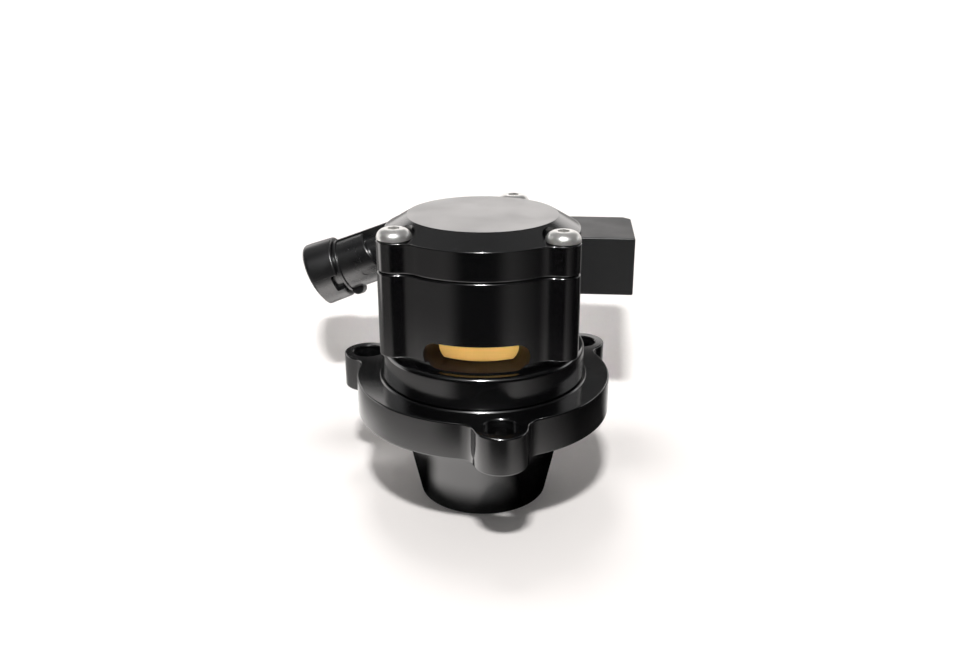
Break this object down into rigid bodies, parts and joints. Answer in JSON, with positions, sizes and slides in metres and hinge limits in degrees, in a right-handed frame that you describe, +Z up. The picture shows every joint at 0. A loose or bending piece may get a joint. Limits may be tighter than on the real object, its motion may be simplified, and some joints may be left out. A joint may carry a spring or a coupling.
{
  "type": "blow off valve",
  "caption": "Solenoid operated piston blow off valve: black lobed body with vent slots on a lugged flange and a tapered spigot, coil and angled plug behind.",
  "frame": {"origin": "middle of the model's footprint box, level with the end of the spigot it stands on; the valve's axis runs parallel to Z at x 5.51 mm, y -8.11 mm", "axes": "+Z up along the valve's axis, from the spigot to the cap; +Y towards the solenoid at the back; +X to the right seen from the front, towards the coil case"},
  "size_m": [0.1089, 0.1069, 0.0846],
  "materials": {
    "black_anodised": "hard black anodised, glossy, machined",
    "stainless": "bright stainless steel",
    "spring_steel": "drawn spring wire and strip",
    "magnet_steel": "ground magnetic stainless steel",
    "brass": "turned and polished brass",
    "seal_rubber": "moulded nitrile rubber",
    "seat_polymer": "turned PTFE",
    "housing_plastic": "satin black moulded nylon",
    "shell_plastic": "satin black moulded nylon",
    "case_plastic": "matte dark grey, finely textured moulding",
    "bobbin_plastic": "natural glass filled nylon",
    "enamelled_copper": "enamelled copper wire",
    "tinned_brass": "tinned brass"
  },
  "bodies": {
    "body": {"mounting_flange": "black_anodised", "valve_body": "black_anodised", "retaining_ring": "spring_steel", "top_cap": "black_anodised", "cap_screw_front_left": "stainless", "cap_screw_front_right": "stainless", "cap_screw_rear": "stainless", "main_spring": "spring_steel", "flange_seal": "seal_rubber", "nose_seal": "seal_rubber", "seat_seal": "seat_polymer", "cap_seal": "seal_rubber", "solenoid_housing": "housing_plastic", "solenoid_screw_left": "stainless", "solenoid_screw_right": "stainless", "port_seal": "seal_rubber", "core_tube": "stainless", "core_tube_seal": "seal_rubber", "pole_piece": "magnet_steel", "plunger_spring": "spring_steel", "coil_case": "case_plastic", "coil_bobbin": "bobbin_plastic", "coil_winding": "enamelled_copper", "connector_shell": "shell_plastic", "connector_seal": "seal_rubber", "terminal_pin_front": "tinned_brass", "terminal_pin_rear": "tinned_brass"},
    "piston": {"piston": "brass", "piston_seal": "seal_rubber"},
    "plunger": {"plunger": "magnet_steel", "plunger_pad": "seal_rubber"}
  },
  "joints": [
    {"name": "piston_lift", "type": "slide", "parent": "body", "child": "piston", "axis": [0, 0, 1], "range_m": [0, 0.009], "stiffness_N_per_m": 2500, "springref_m": -0.0085, "deforming": ["main_spring"]},
    {"name": "plunger_pull", "type": "slide", "parent": "body", "child": "plunger", "axis": [0.9971, -0.0767, 0], "range_m": [0, 0.0015], "stiffness_N_per_m": 300, "springref_m": -0.004, "deforming": ["plunger_spring"]}
  ]
}
